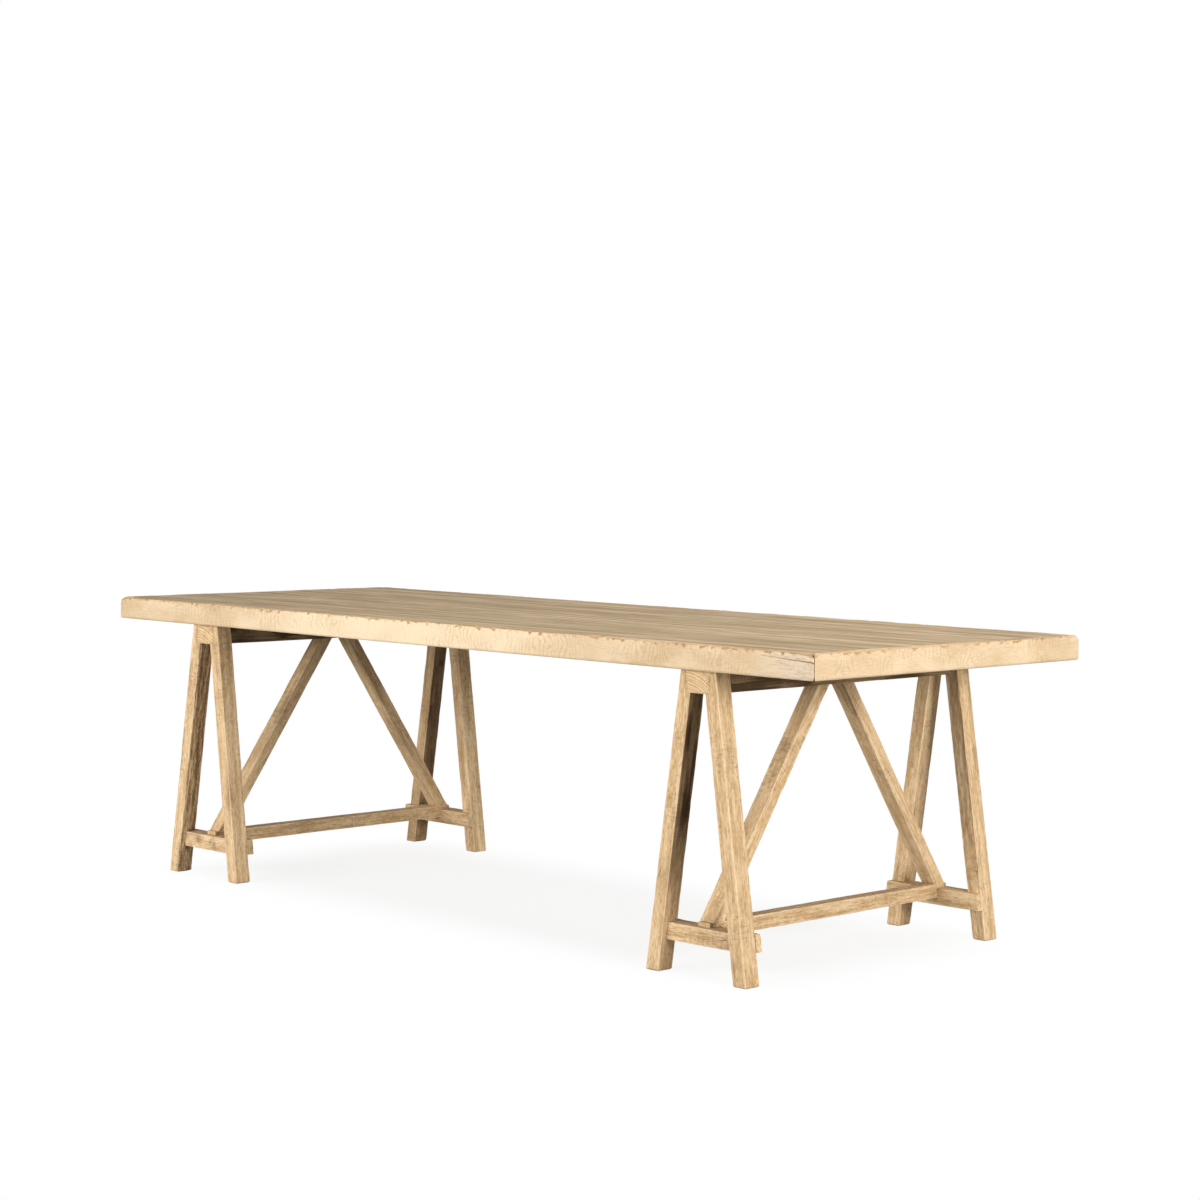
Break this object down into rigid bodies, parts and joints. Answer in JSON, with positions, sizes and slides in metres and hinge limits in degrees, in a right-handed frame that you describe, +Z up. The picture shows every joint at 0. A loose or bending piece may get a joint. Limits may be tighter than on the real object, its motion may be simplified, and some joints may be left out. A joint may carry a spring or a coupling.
{
  "type": "trestle dining table",
  "caption": "Long oak dining table: a deep-edged plank top rests loose on two A-frame trestles with notched head beams, low foot rails, a stretcher and V braces.",
  "frame": {"origin": "floor level under the middle of the top", "axes": "+X along the table's length, +Y across it towards the rear edge, +Z up"},
  "size_m": [2.69, 1, 0.78],
  "materials": {
    "worn_top_oak": "worn, waxed, greyed oak with open lengthwise grain",
    "pale_edge_oak": "pale planed oak with chipped arrises",
    "underside_oak": "raw planed oak",
    "trestle_oak": "weathered reclaimed oak, streaked and cracked",
    "joint_oak": "raw oak"
  },
  "bodies": {
    "left_trestle": {"left_trestle_head_beam": "trestle_oak", "left_trestle_front_left_leg": "trestle_oak", "left_trestle_front_right_leg": "trestle_oak", "left_trestle_rear_left_leg": "trestle_oak", "left_trestle_rear_right_leg": "trestle_oak", "left_trestle_front_foot_rail": "trestle_oak", "left_trestle_rear_foot_rail": "trestle_oak", "left_trestle_stretcher": "trestle_oak", "left_trestle_front_brace": "trestle_oak", "left_trestle_rear_brace": "trestle_oak", "left_trestle_head_slips": "joint_oak", "left_trestle_rail_slips": "joint_oak", "left_trestle_locating_pegs": "joint_oak"},
    "tabletop": {"top_plank_1": "worn_top_oak", "top_plank_2": "worn_top_oak", "top_plank_3": "worn_top_oak", "top_plank_4": "worn_top_oak", "top_plank_5": "worn_top_oak", "top_plank_6": "worn_top_oak", "top_plank_7": "worn_top_oak", "front_lipping": "pale_edge_oak", "rear_lipping": "pale_edge_oak", "left_end_lipping": "pale_edge_oak", "right_end_lipping": "pale_edge_oak", "left_bearer": "underside_oak", "left_batten": "underside_oak", "middle_batten": "underside_oak", "right_batten": "underside_oak", "right_bearer": "underside_oak", "seam_tongues": "joint_oak", "end_tongues": "joint_oak", "mitre_keys": "joint_oak"},
    "right_trestle": {"right_trestle_head_beam": "trestle_oak", "right_trestle_front_left_leg": "trestle_oak", "right_trestle_front_right_leg": "trestle_oak", "right_trestle_rear_left_leg": "trestle_oak", "right_trestle_rear_right_leg": "trestle_oak", "right_trestle_front_foot_rail": "trestle_oak", "right_trestle_rear_foot_rail": "trestle_oak", "right_trestle_stretcher": "trestle_oak", "right_trestle_front_brace": "trestle_oak", "right_trestle_rear_brace": "trestle_oak", "right_trestle_head_slips": "joint_oak", "right_trestle_rail_slips": "joint_oak", "right_trestle_locating_pegs": "joint_oak"}
  },
  "joints": [
    {"name": "top_lift", "type": "slide", "parent": "left_trestle", "child": "tabletop", "axis": [0, 0, 1], "range_m": [0, 0.15]},
    {"name": "right_trestle_stay", "type": "slide", "parent": "tabletop", "child": "right_trestle", "axis": [0, 0, -1], "range_m": [0, 0.15]}
  ],
  "couplings": [
    {"joint": "right_trestle_stay", "follows": "top_lift", "ratio": 1}
  ]
}
